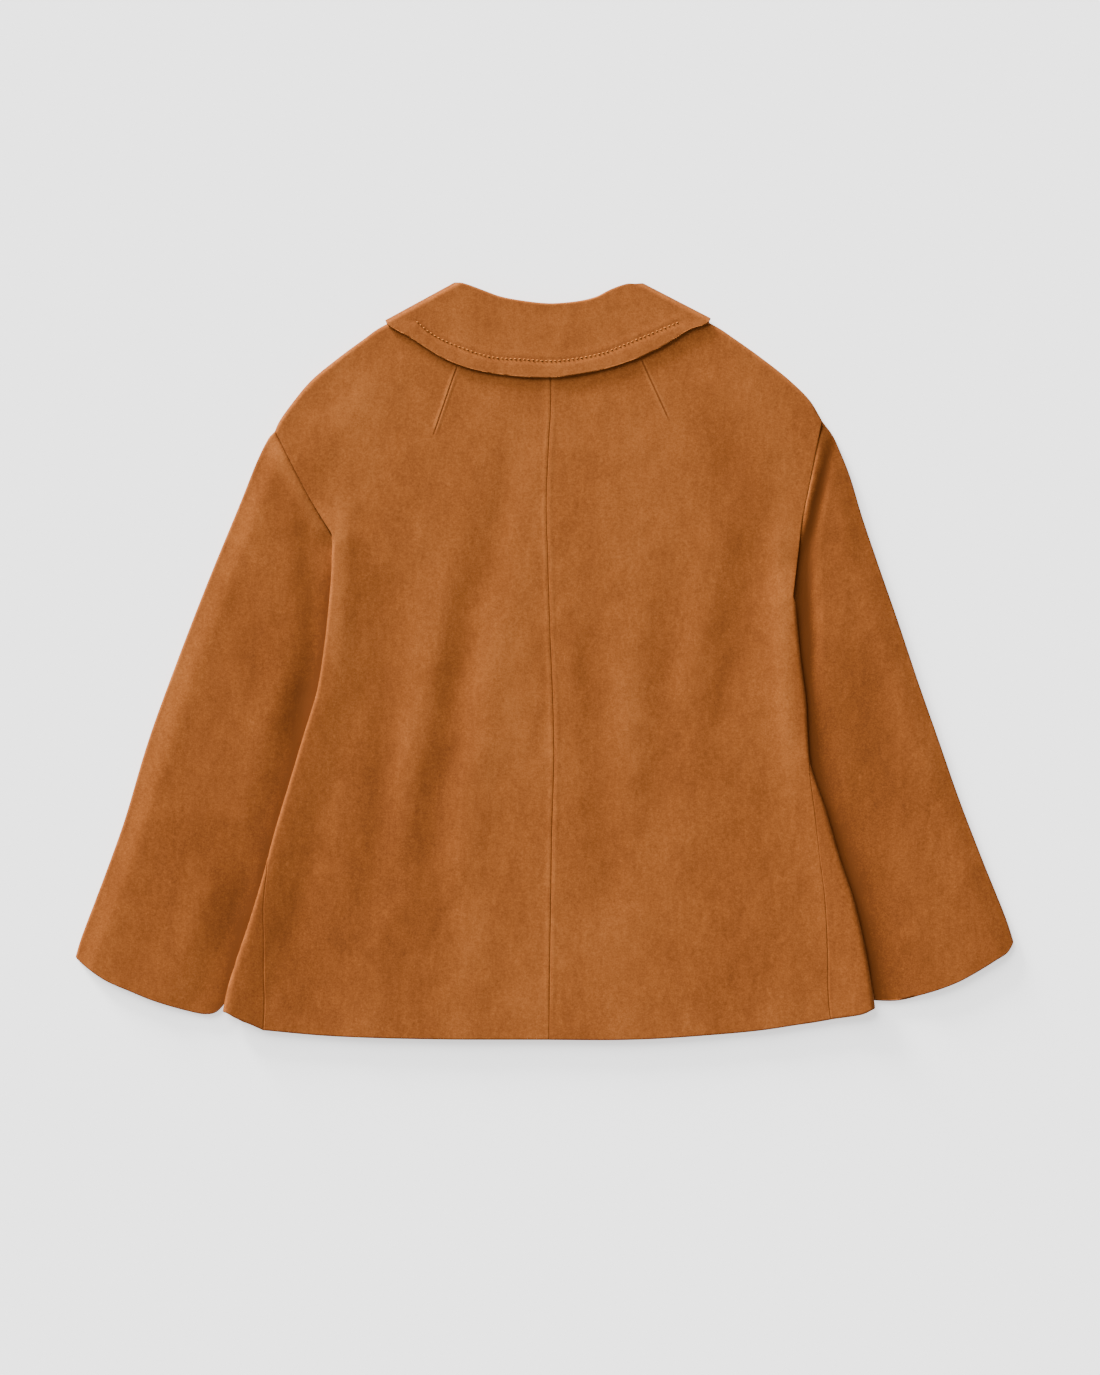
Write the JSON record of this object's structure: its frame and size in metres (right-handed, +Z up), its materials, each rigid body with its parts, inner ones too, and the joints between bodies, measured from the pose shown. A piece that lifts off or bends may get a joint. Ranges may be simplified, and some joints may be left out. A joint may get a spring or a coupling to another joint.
{
  "type": "suede jacket laid flat",
  "caption": "Short flared suede jacket with a wide round collar, laid flat with its back up and its sleeves beside it.",
  "frame": {"origin": "centre of the jacket's outline on the surface that it lies on", "axes": "+Z up out of the back, +Y towards the collar, +X towards the wearer's right sleeve"},
  "size_m": [0.8264, 0.6658, 0.0116],
  "materials": {
    "suede": "napped tan suede"
  },
  "bodies": {
    "root": {"back_left": "suede", "back_right": "suede", "front_left": "suede", "front_right": "suede", "sleeve_left": "suede", "sleeve_right": "suede", "collar": "suede", "collar_stand": "suede"}
  },
  "joints": []
}
